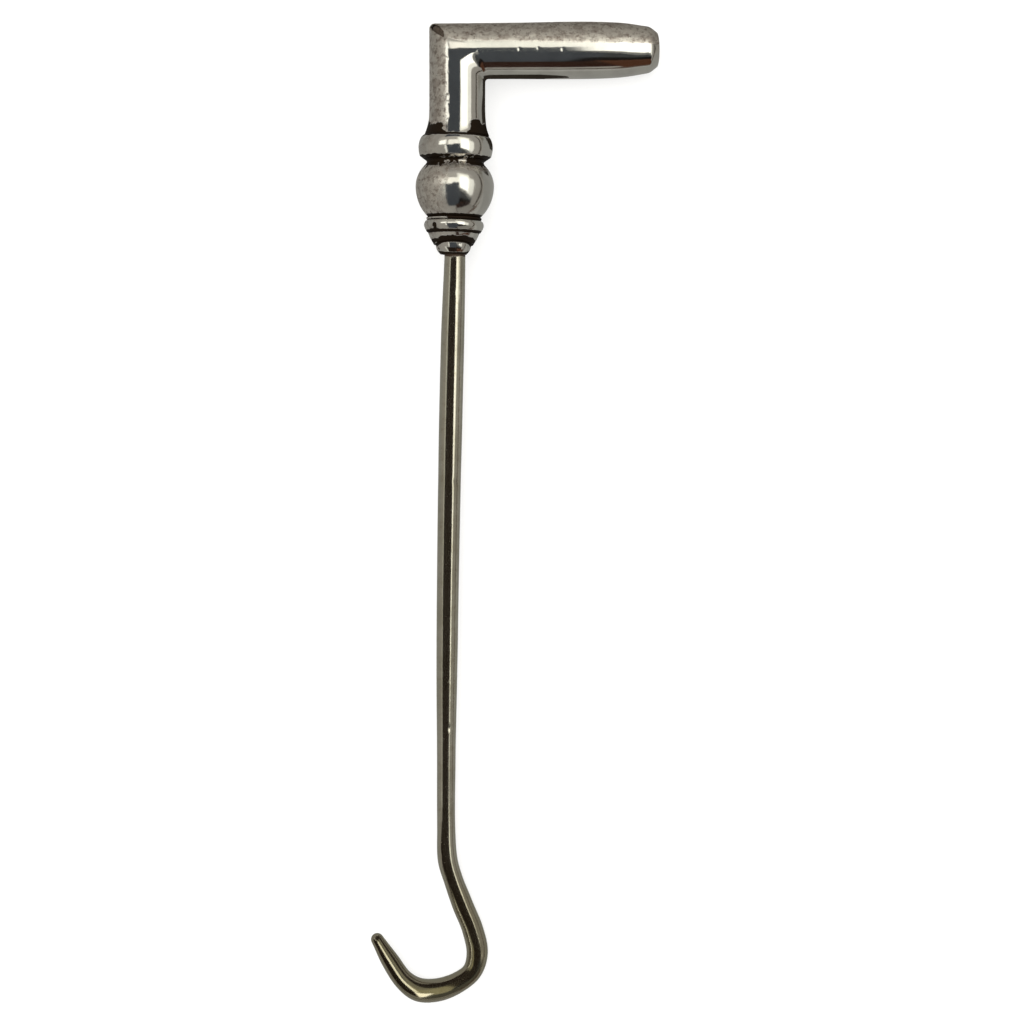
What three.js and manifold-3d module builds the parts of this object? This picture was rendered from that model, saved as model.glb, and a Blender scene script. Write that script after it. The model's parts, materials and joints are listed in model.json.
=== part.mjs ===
/**
 * Button hook with a silver grip shaped like the handle of a hunting whip.
 *
 * Units are millimetres. The hook lies at rest on a table: +Z is up, +Y runs from the hook to the
 * grip, and +X is the way the arm of the grip points. The origin is under the middle of the object.
 *
 * Every piece is drawn first in the grip's own frame, which starts where the arm's axis meets the
 * neck's axis. There the arm runs along +X, and the neck, the mouldings and the steel shank run
 * along -Y. A distance measured down the neck from that point is called a station.
 */
import * as THREE from 'three';
import { mergeVertices } from 'three/addons/utils/BufferGeometryUtils.js';
import Module from 'manifold-3d';

const wasm = await Module();
wasm.setup();

// ---------------------------------------------------------------- driving dimensions

const WALL = 0.45; // thickness of the sheet silver
const SEAM = 0.03; // gap left at every soldered joint

const ARM_RADIUS = 2.7; // at the elbow
const ARM_SWELL = 2.79; // at its fullest
const ARM_END_RADIUS = 2.32; // where the end cap is soldered on
const ARM_END_TAPER = 0.135; // loss of radius per millimetre near that cap
const ARM_LENGTH = 18.6; // from the neck's axis to the cap seam
const CAP_LENGTH = 1.2;
const CAP_LIP = 0.42; // length of the cap's straight part, before its chamfer
const CAP_FACE_RADIUS = 1.62;
const CAP_SPIGOT = 0.6; // length of the cap's plug inside the arm
const CAP_SPIGOT_RADIUS = 1.7;

const NECK_RADIUS = 2.74;
const NECK_FOOT_RADIUS = 3.1;
const NECK_FLARE = 6.4; // station where the foot starts to flare
const NECK_FOOT = 8.2; // station of the foot

const COLLAR_RADIUS = 3.64;
const COLLAR_FOOT = 10.6; // station of the upper collar's lower face
const COLLAR_BORE = 2.0;

const WAIST_RADIUS = 2.75;
const KNOP_RADIUS = 3.84;
const KNOP_EQUATOR = 13.2; // station of the seam round the knop
const KNOP_TOP_HEIGHT = 3.2; // half height of the ellipse above the seam
const KNOP_BOTTOM_HEIGHT = 4.05; // and below it
const KNOP_FOOT = 16.2;
const KNOP_MOUTH = 1.6; // opening between the knop and the upper collar

const LOWER_COLLAR_RADIUS = 2.93;
const LOWER_COLLAR_FOOT = 17.7;
const FERRULE_FOOT = 18.95;
const FERRULE_FOOT_RADIUS = 1.9;
const SLEEVE_FOOT = 19.85;
const SLEEVE_FOOT_RADIUS = 1.28;
const TANG_BORE = 1.25; // bore of the knop's foot, lower collar and ferrule
const SLEEVE_BORE = 1.17;

const TANG_TOP = 9.4; // station of the steel tang's blunt end
const ARM_RISE = 1.2; // degrees by which the arm opens past square to the neck
const MOULDING_LEAN = -1.3; // degrees by which the mouldings sit askew on the neck
const MOULDING_OFFSET = -0.14; // and how far their axis misses the neck's axis at its foot

const REST_ROLL = THREE.MathUtils.degToRad(5.8); // the arm's end drops until it touches the table
const REST_PITCH = THREE.MathUtils.degToRad(1.96); // the knop holds the grip higher than the hook

const TURNED_SIDES = 30;
const WIRE_SIDES = 14;
const RINGS_PER_SPAN = 4; // rings of the steel's surface between two of its listed places

// ---------------------------------------------------------------- geometry helpers

/** Merges shared vertices and drops the empty triangles that a lathe leaves on its axis. */
function weld(geometry) {
  geometry.deleteAttribute('normal');
  geometry.deleteAttribute('uv');
  const merged = mergeVertices(geometry, 1e-4);
  const index = merged.index.array;
  const kept = [];
  for (let i = 0; i < index.length; i += 3) {
    const [a, b, c] = [index[i], index[i + 1], index[i + 2]];
    if (a !== b && b !== c && c !== a) kept.push(a, b, c);
  }
  merged.setIndex(kept);
  return merged;
}

function toSolid(geometry) {
  const welded = weld(geometry);
  return new wasm.Manifold(new wasm.Mesh({
    numProp: 3,
    vertProperties: new Float32Array(welded.attributes.position.array),
    triVerts: new Uint32Array(welded.index.array),
  }));
}

function toGeometry(solid) {
  const mesh = solid.getMesh();
  const geometry = new THREE.BufferGeometry();
  geometry.setAttribute('position', new THREE.BufferAttribute(mesh.vertProperties, 3));
  geometry.setIndex(new THREE.BufferAttribute(mesh.triVerts, 1));
  geometry.computeVertexNormals();
  return geometry;
}

/** Turns an outline of [radius, station] pairs round the neck's axis, station zero at the elbow. */
function turned(outline, sides = TURNED_SIDES) {
  const points = outline.map(([radius, station]) => new THREE.Vector2(radius, -station));
  return toSolid(new THREE.LatheGeometry(points.reverse(), sides));
}

/** Turns a closed ring: its outer outline runs down, its inner outline runs back up. */
function turnedRing(outer, inner) {
  return turned([...outer, ...inner, outer[0]]);
}

/** Samples a smooth curve through a few [radius, station] pairs. */
function smooth(pairs, count) {
  const curve = new THREE.SplineCurve(pairs.map(([radius, station]) => new THREE.Vector2(radius, station)));
  return curve.getPoints(count).map((point) => [point.x, point.y]);
}

/** Lays a piece that was turned round the neck's axis along the arm's axis instead. */
function alongArm(solid) {
  return solid.rotate([0, 0, 90 + ARM_RISE]);
}

/** Moves a piece of the mouldings off the neck's axis and tips it over, about the neck's foot. */
function leaned(solid) {
  const tipped = solid.translate([0, NECK_FOOT, 0]).rotate([0, 0, MOULDING_LEAN]);
  return tipped.translate([MOULDING_OFFSET, -NECK_FOOT, 0]);
}

/** A large block on the +Y side of the origin, with its face this far from the origin. */
function halfSpace(gap) {
  const size = 80;
  const block = new THREE.BoxGeometry(size, size, size);
  block.translate(0, size / 2 + gap, 0);
  return toSolid(block);
}

// ---------------------------------------------------------------- outlines shared by the shell and its filling

/** Radius of the arm at the given distance from the elbow. */
const ARM_OUTLINE = [
  [ARM_RADIUS, -4],
  [ARM_RADIUS, 0],
  [2.73, 6],
  [ARM_SWELL, 12],
  [2.67, 16],
  [ARM_END_RADIUS, ARM_LENGTH],
];

function armOutline(inset, end) {
  const curve = smooth(ARM_OUTLINE, 10).filter(([, distance]) => distance < end - SEAM);
  const last = ARM_END_RADIUS + (ARM_LENGTH - end) * ARM_END_TAPER;
  return [...curve, [last, end]].map(([radius, distance]) => [radius - inset, distance]);
}

/** The knop is two half ellipses of one radius, so its outline is an arc of each. */
function knopArc(inset, from, to, count) {
  const arc = [];
  for (let i = 0; i <= count; i += 1) {
    const station = from + ((to - from) * i) / count;
    const height = (station < KNOP_EQUATOR ? KNOP_TOP_HEIGHT : KNOP_BOTTOM_HEIGHT) - inset;
    const reach = (station - KNOP_EQUATOR) / height;
    arc.push([(KNOP_RADIUS - inset) * Math.sqrt(1 - reach * reach), station]);
  }
  return arc;
}

/** Station where the knop's hollow has narrowed to its mouth. */
function knopMouthStation(inset) {
  const share = KNOP_MOUTH / (KNOP_RADIUS - WALL);
  return KNOP_EQUATOR - (KNOP_TOP_HEIGHT - inset) * Math.sqrt(1 - share * share);
}

// ---------------------------------------------------------------- arm and neck

/** Keeps the side of the mitre plane that belongs to the arm or to the neck. */
function mitred(solid, degrees) {
  return solid.intersect(halfSpace(SEAM / 2).rotate([0, 0, degrees]));
}

/** The hole worn through the ridge of the mitre at the outer corner of the elbow. */
function wornHole() {
  const hole = new THREE.SphereGeometry(1, 14, 9);
  const alongRidge = new THREE.Vector3(0.466, -0.466, 0.751).normalize();
  const acrossRidge = new THREE.Vector3(1, 1, 0).normalize();
  const outward = new THREE.Vector3().crossVectors(alongRidge, acrossRidge);
  const place = new THREE.Matrix4().makeBasis(alongRidge, acrossRidge, outward);
  hole.scale(1.2, 0.4, 0.95);
  hole.applyMatrix4(place);
  hole.translate(-2.2, 2.2, 1.42);
  return toSolid(hole);
}

function armTube() {
  const outer = armOutline(0, ARM_LENGTH);
  const inner = armOutline(WALL, ARM_LENGTH).reverse();
  return mitred(alongArm(turnedRing(outer, inner)), -45).subtract(wornHole());
}

/** Cap of the arm: a plug inside the tube, a short lip, a chamfer and a flat end face. */
function armEndCap() {
  const seam = ARM_LENGTH + SEAM;
  const end = ARM_LENGTH + CAP_LENGTH;
  return alongArm(turned([
    [0, seam - CAP_SPIGOT],
    [CAP_SPIGOT_RADIUS, seam - CAP_SPIGOT],
    [CAP_SPIGOT_RADIUS, seam],
    [ARM_END_RADIUS, seam],
    [ARM_END_RADIUS - 0.08, seam + CAP_LIP],
    [CAP_FACE_RADIUS + 0.1, end - 0.08],
    [CAP_FACE_RADIUS, end],
    [0, end],
  ]));
}

function neckTube() {
  const flare = smooth([
    [NECK_RADIUS, NECK_FLARE],
    [NECK_RADIUS + 0.13, NECK_FLARE + 1],
    [NECK_FOOT_RADIUS, NECK_FOOT],
    [NECK_FOOT_RADIUS + 0.2, NECK_FOOT + 0.3],
  ], 6);
  const outer = [[NECK_RADIUS, -4], ...flare];
  const bore = NECK_RADIUS - WALL;
  const tube = turnedRing(outer, [[bore, NECK_FOOT + 0.3], [bore, -4]]);
  return mitred(tube, 135).intersect(aboveFoot(0)).subtract(wornHole());
}

/** Everything on the neck's side of the leaning joint between the neck and the upper collar. */
function aboveFoot(gap) {
  return leaned(halfSpace(gap).translate([0, -NECK_FOOT, 0]));
}

// ---------------------------------------------------------------- mouldings, from the neck down

/** Round bead under the neck, with a corner at its lower edge and an undercut below that. */
function upperCollar() {
  const top = NECK_FOOT + SEAM;
  const bead = smooth([
    [NECK_FOOT_RADIUS - 0.05, top],
    [COLLAR_RADIUS - 0.16, top + 0.5],
    [COLLAR_RADIUS, top + 1.2],
    [COLLAR_RADIUS - 0.05, COLLAR_FOOT - 0.6],
  ], 8);
  const undercut = [[COLLAR_RADIUS - 0.14, COLLAR_FOOT - 0.3], [WAIST_RADIUS + 0.32, COLLAR_FOOT]];
  return turnedRing([...bead, ...undercut], [[COLLAR_BORE, COLLAR_FOOT], [COLLAR_BORE, top]]);
}

function knopUpperHalf() {
  const top = COLLAR_FOOT + SEAM;
  const shoulder = KNOP_EQUATOR - 1.75;
  const waist = smooth([
    [WAIST_RADIUS + 0.27, top],
    [WAIST_RADIUS, top + 0.32],
    knopArc(0, shoulder, shoulder, 1)[0],
  ], 4);
  const outer = [...waist, ...knopArc(0, shoulder, KNOP_EQUATOR, 5).slice(1)];
  const inner = knopArc(WALL, KNOP_EQUATOR, knopMouthStation(WALL), 5);
  return turnedRing(outer, [...inner, [KNOP_MOUTH, top]]);
}

function knopLowerHalf() {
  const floor = KNOP_FOOT - WALL;
  const outer = knopArc(0, KNOP_EQUATOR + SEAM, KNOP_FOOT, 8);
  const inner = knopArc(WALL, floor, KNOP_EQUATOR + SEAM, 5);
  return turnedRing(outer, [[TANG_BORE, KNOP_FOOT], [TANG_BORE, floor], ...inner]);
}

function lowerCollar() {
  const top = KNOP_FOOT + SEAM;
  const lip = [
    [LOWER_COLLAR_RADIUS - 0.4, top],
    [LOWER_COLLAR_RADIUS - 0.22, top + 0.12],
    [LOWER_COLLAR_RADIUS - 0.28, top + 0.28],
  ];
  const bead = smooth([
    [LOWER_COLLAR_RADIUS - 0.14, top + 0.38],
    [LOWER_COLLAR_RADIUS, top + 0.75],
    [LOWER_COLLAR_RADIUS - 0.08, top + 1.1],
    [LOWER_COLLAR_RADIUS - 0.3, LOWER_COLLAR_FOOT],
  ], 6);
  return turnedRing([...lip, ...bead], [[TANG_BORE, LOWER_COLLAR_FOOT], [TANG_BORE, top]]);
}

/** Small cup that narrows from the lower collar towards the shank. */
function ferrule() {
  const top = LOWER_COLLAR_FOOT + SEAM;
  const outer = smooth([
    [LOWER_COLLAR_RADIUS - 0.4, top],
    [2.27, top + 0.55],
    [FERRULE_FOOT_RADIUS, FERRULE_FOOT],
  ], 4);
  return turnedRing(outer, [[TANG_BORE, FERRULE_FOOT], [TANG_BORE, top]]);
}

/** Tapered sleeve that closes the grip round the shank. */
function shankSleeve() {
  const top = FERRULE_FOOT + SEAM;
  const outer = smooth([
    [FERRULE_FOOT_RADIUS - 0.16, top],
    [1.62, top + 0.45],
    [SLEEVE_FOOT_RADIUS, SLEEVE_FOOT],
  ], 4);
  return turnedRing(outer, [[SLEEVE_BORE, SLEEVE_FOOT], [SLEEVE_BORE, top]]);
}

// ---------------------------------------------------------------- steel hook

/** Axis and diameter of the steel, [x, y, diameter], from the blunt end of the tang to the tip. */
const WIRE = [
  [-0.06, -TANG_TOP, 1.5],
  [-0.2, -17, 1.9],
  [-0.24, -SLEEVE_FOOT, 2.06],
  [-0.5, -29, 2.3],
  [-0.85, -45, 2.23],
  [-1.06, -60, 2.08],
  [-1.14, -70, 1.84],
  [-1.15, -76.3, 1.8],
  [-1, -79.6, 1.98],
  [-0.46, -81.5, 1.94],
  [0.45, -84, 2.07],
  [1.46, -86.5, 2.11],
  [1.92, -88.9, 2.11],
  [1.42, -90.7, 1.96],
  [0.1, -91.75, 2.07],
  [-2, -92.5, 2.28],
  [-3.9, -92.45, 2.34],
  [-5.35, -91.45, 1.98],
  [-6.75, -89.42, 1.76],
  [-7.98, -87.35, 1.26],
];

/**
 * A round bar of changing diameter, bent along a flat curve. It is turned as a straight bar whose
 * height is the curve's parameter, and then each of its rings is carried to its place on the curve.
 * The clearance below the curve's start and the rounded tip past its end lie at heights under 0
 * and over 1, where the excess is in millimetres.
 */
function bentBar(stations, clearance) {
  const spans = stations.length - 1;
  const axis = stations.map(([x, y]) => new THREE.Vector3(x, y, 0));
  const curve = new THREE.CatmullRomCurve3(axis, false, 'centripetal');
  const outline = [new THREE.Vector2(0, -clearance)];
  if (clearance > 0) outline.push(new THREE.Vector2(stations[0][2] / 2 + clearance, -clearance));
  for (let ring = 0; ring <= spans * RINGS_PER_SPAN; ring += 1) {
    const place = ring / RINGS_PER_SPAN;
    const from = Math.min(Math.floor(place), spans - 1);
    const diameter = THREE.MathUtils.lerp(stations[from][2], stations[from + 1][2], place - from);
    outline.push(new THREE.Vector2(diameter / 2 + clearance, place / spans));
  }
  const tip = outline.at(-1).x;
  for (const share of [0.35, 0.7, 1]) {
    const angle = (share * Math.PI) / 2;
    const radius = share < 1 ? tip * Math.cos(angle) : 0;
    outline.push(new THREE.Vector2(radius, 1 + tip * Math.sin(angle)));
  }
  const bar = new THREE.LatheGeometry(outline, WIRE_SIDES);
  const position = bar.attributes.position;
  for (let i = 0; i < position.count; i += 1) {
    const height = position.getY(i);
    const onCurve = THREE.MathUtils.clamp(height, 0, 1);
    const centre = curve.getPoint(onCurve);
    const along = curve.getTangent(onCurve);
    const beyond = height - onCurve;
    const across = position.getX(i);
    const x = centre.x + along.x * beyond + along.y * across;
    const y = centre.y + along.y * beyond - along.x * across;
    position.setXYZ(i, x, y, position.getZ(i));
  }
  return toSolid(bar);
}

function steelHook(clearance = 0) {
  return bentBar(WIRE, clearance);
}

// ---------------------------------------------------------------- pitch filling

/** Set pitch fills the whole grip and holds the tang. It shows through the worn hole. */
function pitchFilling() {
  const inset = WALL + SEAM;
  const armOuter = armOutline(inset, ARM_LENGTH - CAP_SPIGOT);
  const arm = alongArm(turned([[0, -4], ...armOuter, [0, ARM_LENGTH - CAP_SPIGOT]]));
  const boreRadius = NECK_RADIUS - inset;
  const neck = turned([[0, -4], [boreRadius, -4], [boreRadius, NECK_FOOT + 1], [0, NECK_FOOT + 1]]);
  const mouth = knopMouthStation(inset);
  const floor = KNOP_FOOT - inset;
  const below = turned([
    [0, NECK_FOOT - 1],
    [COLLAR_BORE - SEAM, NECK_FOOT - 1],
    [COLLAR_BORE - SEAM, COLLAR_FOOT],
    [KNOP_MOUTH - SEAM, COLLAR_FOOT],
    ...knopArc(inset, mouth, KNOP_EQUATOR, 5),
    ...knopArc(inset, KNOP_EQUATOR, floor, 5).slice(1),
    [0, floor],
  ]);
  const armSide = arm.intersect(halfSpace(-SEAM).rotate([0, 0, -45]));
  const neckSide = neck.intersect(halfSpace(-SEAM).rotate([0, 0, 135]));
  const neckPart = neckSide.intersect(aboveFoot(SEAM));
  return armSide.add(neckPart).add(leaned(below)).subtract(steelHook(SEAM));
}

// ---------------------------------------------------------------- assembly

const SILVER = { color: 0x9a9284, roughness: 0.25, metalness: 1 };
const STEEL = { color: 0x7d7868, roughness: 0.28, metalness: 1 };
const PITCH = { color: 0x4a3a2c, roughness: 0.9, metalness: 0 };

function piece(name, solid, finish) {
  const mesh = new THREE.Mesh(toGeometry(solid), new THREE.MeshStandardMaterial(finish));
  mesh.name = name;
  return mesh;
}

const grip = new THREE.Group();
grip.add(
  piece('arm_tube', armTube(), SILVER),
  piece('arm_end_cap', armEndCap(), SILVER),
  piece('neck_tube', neckTube(), SILVER),
  piece('pitch_filling', pitchFilling(), PITCH),
  piece('steel_hook', steelHook(), STEEL),
);

const mouldings = new THREE.Group();
mouldings.position.set(MOULDING_OFFSET, -NECK_FOOT, 0);
mouldings.rotation.z = THREE.MathUtils.degToRad(MOULDING_LEAN);
const stack = new THREE.Group();
stack.position.set(0, NECK_FOOT, 0);
stack.add(
  piece('upper_collar', upperCollar(), SILVER),
  piece('knop_upper_half', knopUpperHalf(), SILVER),
  piece('knop_lower_half', knopLowerHalf(), SILVER),
  piece('lower_collar', lowerCollar(), SILVER),
  piece('ferrule', ferrule(), SILVER),
  piece('shank_sleeve', shankSleeve(), SILVER),
);
mouldings.add(stack);
grip.add(mouldings);

// The object lies on the knop, the end of the arm and the outside of the hook's bend.
grip.rotation.set(REST_PITCH, REST_ROLL, 0);

const buttonHook = new THREE.Group();
buttonHook.add(grip);
const extent = new THREE.Box3().setFromObject(buttonHook, true);
const middle = extent.getCenter(new THREE.Vector3());
buttonHook.position.set(-middle.x, -middle.y, -extent.min.z);

export default buttonHook;
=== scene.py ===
"""Looks of a small button hook: a silver grip shaped like a whip handle on a polished steel hook.

Lengths are in millimetres in the grip's own frame, unless a name says otherwise. That frame starts
where the arm's axis meets the neck's axis: the arm runs along +X, and the neck, the mouldings and
the shank run along -Y. A distance measured down the neck is called a station. Every piece is drawn
there, given its dents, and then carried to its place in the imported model's frame. The stage's cards
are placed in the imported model's frame from the start.
"""
import json
import math

import bmesh
import bpy
import numpy as np
from mathutils import Matrix, Vector, noise

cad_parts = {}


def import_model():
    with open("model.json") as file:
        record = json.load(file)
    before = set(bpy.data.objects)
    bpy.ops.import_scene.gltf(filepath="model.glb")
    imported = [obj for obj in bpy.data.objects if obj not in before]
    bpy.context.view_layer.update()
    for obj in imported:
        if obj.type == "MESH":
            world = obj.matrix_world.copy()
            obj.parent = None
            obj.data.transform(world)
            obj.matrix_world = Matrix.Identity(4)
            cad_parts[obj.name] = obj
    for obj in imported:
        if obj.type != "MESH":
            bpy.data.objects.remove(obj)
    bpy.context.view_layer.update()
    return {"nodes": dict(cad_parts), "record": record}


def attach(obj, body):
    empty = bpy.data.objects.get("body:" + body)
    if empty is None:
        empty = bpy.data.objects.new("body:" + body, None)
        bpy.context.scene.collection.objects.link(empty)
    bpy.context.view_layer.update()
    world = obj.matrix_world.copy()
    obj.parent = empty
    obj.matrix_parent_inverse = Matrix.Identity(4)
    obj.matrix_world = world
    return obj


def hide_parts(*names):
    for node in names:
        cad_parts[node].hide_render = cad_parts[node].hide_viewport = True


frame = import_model()

# ---------------------------------------------------------------- dimensions of the grip

MM = 0.001
WALL = 0.45
SEAM = 0.03  # gap left at every soldered joint

# An outline is a list of (radius, distance along the axis) pairs.
ARM_RADIUS = 2.7  # at the elbow
ARM_END_RADIUS = 2.32
ARM_LENGTH = 18.6
ARM_OUTLINE = [
    (ARM_RADIUS, -4), (ARM_RADIUS, 0), (2.73, 6), (2.79, 12), (2.67, 16), (ARM_END_RADIUS, ARM_LENGTH),
]
ARM_RISE = math.radians(1.2)  # the arm opens past square to the neck
CAP_LENGTH = 1.2
CAP_FACE_RADIUS = 1.62
CAP_PLUG_RADIUS = 1.7
CAP_PLUG_DEPTH = 0.6
CAP_GAP = 0.004  # the cap is pressed home, so that no gap shows

NECK_RADIUS = 2.74
NECK_FOOT = 8.2
NECK_FOOT_RADIUS = 3.1
NECK_OUTLINE = [
    (NECK_RADIUS, -4), (NECK_RADIUS, 0), (NECK_RADIUS, 4.6), (2.76, 6.2), (2.87, 7.4),
    (NECK_FOOT_RADIUS, NECK_FOOT), (3.3, 8.5),
]
FOOT_SPREAD = 0.14  # how much further the foot of the neck spreads on its outer side
MOULDING_LEAN = math.radians(-1.3)  # the mouldings lean a little, off the neck's axis
MOULDING_OFFSET = -0.14

REST_ROLL = math.radians(5.8)  # the object lies tipped over on its knop
REST_PITCH = math.radians(1.96)

COLLAR_FOOT = 10.6
KNOP_RADIUS = 3.84
KNOP_EQUATOR = 13.2
KNOP_TOP_HEIGHT = 3.2
KNOP_BOTTOM_HEIGHT = 4.05
KNOP_FOOT = 16.2
KNOP_SHOULDER = 11.45  # where its hollowed waist runs into its round
LOWER_COLLAR_FOOT = 17.7
FERRULE_FOOT = 18.95
FERRULE_FOOT_RADIUS = 1.9
SLEEVE_FOOT = 19.85
TANG_BORE = 1.25
SLEEVE_BORE = 1.17
FRONT_SLOPE = 0.22  # how far the joint of ferrule and sleeve climbs towards the front, per millimetre

# Axis and diameter of the steel, from the blunt end of the tang to the tip.
WIRE = [
    (-0.06, -9.4, 1.5), (-0.2, -17, 1.9), (-0.24, -19.85, 2.06), (-0.5, -29, 2.3),
    (-0.85, -45, 2.23), (-1.06, -60, 2.08), (-1.14, -70, 1.84), (-1.15, -76.3, 1.8),
    (-1, -79.6, 1.98), (-0.46, -81.5, 1.94), (0.45, -84, 2.07), (1.46, -86.5, 2.11),
    (1.92, -88.9, 2.11), (1.42, -90.7, 1.96), (0.1, -91.75, 2.07), (-2, -92.5, 2.28),
    (-3.9, -92.45, 2.34), (-5.35, -91.45, 1.98), (-6.75, -89.42, 1.76), (-7.98, -87.35, 1.26),
]

# Small nicks in the shank: station, degrees round from the top towards +X, and depth.
SHANK_NICKS = [
    (23.6, 20, 0.03), (42.1, 38, 0.06), (52.8, -24, 0.03), (66.4, 12, 0.045), (79.1, -60, 0.06),
]
SHANK_NICK_LENGTH = 0.22
SHANK_NICK_WIDTH = 0.3  # in radians

# Small nicks in the arm: their places along it and across its crown.
ARM_NICKS = [(5.85, -0.12), (7.7, 0.02), (10.1, -0.1), (1.9, -0.5)]
ARM_NICK_SIZE = (0.12, 0.16)
ARM_NICK_DEPTH = 0.017

SHARP = math.radians(50)  # an edge this sharp isn't shaded smooth

# ---------------------------------------------------------------- the grip's frame in the model's frame

mount = next(m for m in frame["record"]["mounts"] if m["name"] == "arm_end_face")
AT_REST = Matrix.Rotation(REST_PITCH, 3, "X") @ Matrix.Rotation(REST_ROLL, 3, "Y")
ARM_REACH = ARM_LENGTH + CAP_LENGTH
ARM_END = Vector((math.cos(ARM_RISE), math.sin(ARM_RISE), 0)) * ARM_REACH
ELBOW = Vector(mount["pos_m"]) / MM - AT_REST @ ARM_END
LEAN = Matrix.Rotation(MOULDING_LEAN, 3, "Z")
LEAN_CENTRE = np.array((0, -NECK_FOOT, 0))


def to_model(points):
    """Carries points from the grip's frame, in millimetres, to the model's frame, in metres."""
    return (points @ np.array(AT_REST).T + np.array(ELBOW)) * MM


def leaned(points):
    """Moves points of the mouldings off the neck's axis and tips them over, about the neck's foot."""
    return (points - LEAN_CENTRE) @ np.array(LEAN).T + LEAN_CENTRE + np.array((MOULDING_OFFSET, 0, 0))


# ---------------------------------------------------------------- outlines

def smooth(corners, count):
    """Samples a Catmull-Rom curve through a few corners."""
    points = np.array(corners, float)
    ends = np.vstack([points[0], points, points[-1]])
    place = np.linspace(0, len(points) - 1, count)
    span = np.minimum(place.astype(int), len(points) - 2)
    t = (place - span)[:, None]
    before, start, end, after = (ends[span + k] for k in range(4))
    slope0, slope1 = (end - before) / 2, (after - start) / 2
    return ((2 * start - 2 * end + slope0 + slope1) * t ** 3
            + (-3 * start + 3 * end - 2 * slope0 - slope1) * t ** 2 + slope0 * t + start)


def eased(corners, radius):
    """Rounds the inner corners of an open outline with short curves."""
    points = [np.array(c, float) for c in corners]
    made = [points[0]]
    for before, corner, after in zip(points, points[1:], points[2:]):
        back = min(radius, np.linalg.norm(before - corner) * 0.45)
        ahead = min(radius, np.linalg.norm(after - corner) * 0.45)
        start = corner + (before - corner) / np.linalg.norm(before - corner) * back
        end = corner + (after - corner) / np.linalg.norm(after - corner) * ahead
        for t in (0, 0.25, 0.5, 0.75, 1):
            made.append((1 - t) ** 2 * start + 2 * t * (1 - t) * corner + t ** 2 * end)
    return made + [points[-1]]


def spaced(outline, spacing):
    """Adds points to an outline until none are further apart than the spacing."""
    made = [np.array(outline[0], float)]
    for start, end in zip(outline, outline[1:]):
        start, end = np.array(start, float), np.array(end, float)
        steps = max(1, math.ceil(np.linalg.norm(end - start) / spacing))
        made += [start + (end - start) * k / steps for k in range(1, steps + 1)]
    return made


def knop_arc(start, end, count):
    """The knop is two half ellipses of one radius, so its outline is an arc of each."""
    stations = np.linspace(start, end, count)
    height = np.where(stations < KNOP_EQUATOR, KNOP_TOP_HEIGHT, KNOP_BOTTOM_HEIGHT)
    shares = (stations - KNOP_EQUATOR) / height
    return [(KNOP_RADIUS * math.sqrt(1 - r * r), s) for r, s in zip(shares, stations)]


def as_pairs(outline):
    return [tuple(p) for p in outline]


def bored(foot, top):
    """The inside of a ring, up the bore from its foot to its top."""
    return [(TANG_BORE, foot), (TANG_BORE, top)]


# ---------------------------------------------------------------- meshes

def skin(name, rings, closed=False, capped=False):
    """A mesh over rings of points. Closed joins the last ring to the first; capped fills both ends."""
    rows, sides = rings.shape[:2]
    points = rings.reshape(-1, 3)
    index = np.arange(rows * sides).reshape(rows, sides)
    upper = index if closed else index[:-1]
    lower = np.roll(index, -1, axis=0) if closed else index[1:]
    quads = np.stack([upper, np.roll(upper, -1, 1), np.roll(lower, -1, 1), lower], -1).reshape(-1, 4)
    faces = [tuple(q) for q in quads.tolist()]
    if capped:
        first, last = len(points), len(points) + 1
        points = np.vstack([points, rings[0].mean(0), rings[-1].mean(0)])
        for k in range(sides):
            after = (k + 1) % sides
            faces.append((first, int(index[0, after]), int(index[0, k])))
            faces.append((last, int(index[-1, k]), int(index[-1, after])))
    mesh = bpy.data.meshes.new(name)
    mesh.from_pydata(points.tolist(), [], faces)
    work = bmesh.new()
    work.from_mesh(mesh)
    bmesh.ops.recalc_face_normals(work, faces=work.faces)
    work.to_mesh(mesh)
    work.free()
    mesh.shade_smooth()
    mesh.set_sharp_from_angle(angle=SHARP)
    made = bpy.data.objects.new(name, mesh)
    bpy.context.scene.collection.objects.link(made)
    return made


def turned(name, outline, sides=160, spacing=0.1, closed=True, capped=False):
    """Turns an outline of (radius, station) pairs round the neck's axis."""
    dense = spaced(list(outline) + ([outline[0]] if closed else []), spacing)
    dense = np.array(dense[:-1] if closed else dense)
    angle = np.linspace(0, 2 * math.pi, sides, endpoint=False)
    radius, station = dense[:, :1], dense[:, 1:]
    rings = np.stack([radius * np.cos(angle), -station + 0 * angle, radius * np.sin(angle)], -1)
    return skin(name, rings, closed, capped)


def coordinates(made):
    points = np.empty(len(made.data.vertices) * 3, np.float32)
    made.data.vertices.foreach_get("co", points)
    return points.reshape(-1, 3).astype(float)


def set_coordinates(made, points):
    made.data.vertices.foreach_set("co", points.astype(np.float32).ravel())
    made.data.update()


def normals(made):
    found = np.empty(len(made.data.vertices) * 3, np.float32)
    made.data.vertex_normals.foreach_get("vector", found)
    return found.reshape(-1, 3).astype(float)


def noise_at(points, size, seed=0):
    """Smooth noise from about -1 to 1 whose lumps are about this many millimetres across."""
    offset = Vector((seed * 7.3, seed * 3.1, seed * 5.7))
    return np.array([noise.noise(Vector(p) / size + offset) for p in points])


def dent(made, height):
    """Moves every vertex out along its normal by the heights given, in millimetres."""
    set_coordinates(made, coordinates(made) + normals(made) * height[:, None])


def mark(made, name, values):
    """Stores one number per vertex for a material to read, in place of any stored before."""
    attribute = made.data.attributes.get(name) or made.data.attributes.new(name, "FLOAT", "POINT")
    attribute.data.foreach_set("value", np.clip(values, 0, 1).astype(np.float32))


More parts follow.
